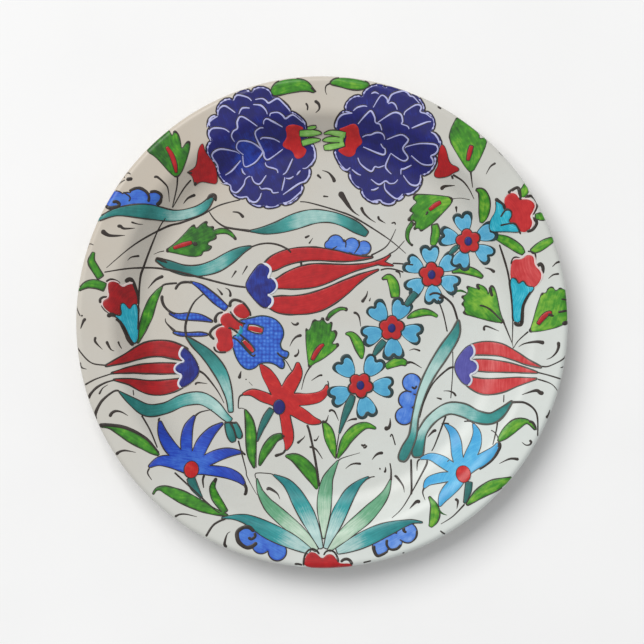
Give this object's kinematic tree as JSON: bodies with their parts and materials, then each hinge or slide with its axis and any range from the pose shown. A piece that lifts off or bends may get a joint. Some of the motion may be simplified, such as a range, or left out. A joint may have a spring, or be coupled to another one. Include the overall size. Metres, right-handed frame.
{
  "type": "hand painted ceramic plate",
  "caption": "Round footed plate with a flat well, a curved wall and a narrow level rim, white inside and painted all over the face with flowers, leaves and small clouds.",
  "frame": {"origin": "centre of the foot ring's bearing plane, on the plate's axis", "axes": "+Z along the plate's axis, out of the painted face; +Y to the top of the design, +X to its right"},
  "size_m": [0.25, 0.25, 0.0211],
  "materials": {
    "clay": "unglazed biscuit, matt",
    "white_slip": "gloss over white slip",
    "clear_glaze": "gloss",
    "cobalt_paint": "gloss underglaze paint",
    "red_paint": "gloss, slightly raised paint",
    "leaf_green_paint": "gloss underglaze paint",
    "teal_paint": "gloss underglaze paint",
    "pale_green_paint": "gloss underglaze paint",
    "blue_paint": "gloss underglaze paint",
    "sky_blue_paint": "gloss underglaze paint",
    "turquoise_paint": "gloss underglaze paint"
  },
  "bodies": {
    "root": {"clay_body": "clay", "white_slip": "white_slip", "back_glaze": "clear_glaze", "foot_well_glaze": "clear_glaze", "left_carnation_petals": "cobalt_paint", "right_carnation_petals": "cobalt_paint", "carnation_calyxes": "red_paint", "carnation_sepals": "leaf_green_paint", "rim_buds": "red_paint", "rim_leaves": "leaf_green_paint", "serrated_leaf_upper_left": "leaf_green_paint", "serrated_leaf_left": "leaf_green_paint", "serrated_leaf_middle": "leaf_green_paint", "serrated_leaf_upper_right": "leaf_green_paint", "serrated_leaf_right": "leaf_green_paint", "serrated_leaf_low_right": "leaf_green_paint", "serrated_leaf_rim": "leaf_green_paint", "serrated_leaf_veins": "red_paint", "saz_leaf_rim": "teal_paint", "saz_leaf_left": "teal_paint", "saz_leaf_middle": "teal_paint", "saz_leaf_left_tall": "teal_paint", "saz_leaf_left_long": "teal_paint", "saz_leaf_right_tall": "teal_paint", "saz_leaf_right_long": "teal_paint", "left_tulip_petals": "red_paint", "middle_tulip_petals": "red_paint", "right_tulip_petals": "red_paint", "left_tulip_cup": "cobalt_paint", "middle_tulip_cup": "cobalt_paint", "right_tulip_cup": "cobalt_paint", "top_blossom_petals": "sky_blue_paint", "second_blossom_petals": "sky_blue_paint", "third_blossom_petals": "sky_blue_paint", "low_blossom_petals": "sky_blue_paint", "blossom_stars": "red_paint", "blossom_eyes": "cobalt_paint", "red_star_petals": "red_paint", "blue_star_petals": "blue_paint", "sky_star_petals": "sky_blue_paint", "cobalt_star_eye": "cobalt_paint", "red_star_eyes": "red_paint", "left_rose_petals": "red_paint", "upper_rose_petals": "red_paint", "lower_rose_petals": "red_paint", "rose_calyxes": "turquoise_paint", "cloud_rim_left": "blue_paint", "cloud_top": "blue_paint", "cloud_right": "blue_paint", "cloud_low_left": "blue_paint", "cloud_low_right": "blue_paint", "hyacinth_tendrils": "blue_paint", "hyacinth_petals": "red_paint", "hyacinth_crown": "blue_paint", "flower_stems": "teal_paint", "left_grass_leaves": "leaf_green_paint", "right_grass_leaves": "leaf_green_paint", "fan_teal_blades": "teal_paint", "fan_green_blades": "pale_green_paint", "foot_rosette": "red_paint"}
  },
  "joints": []
}
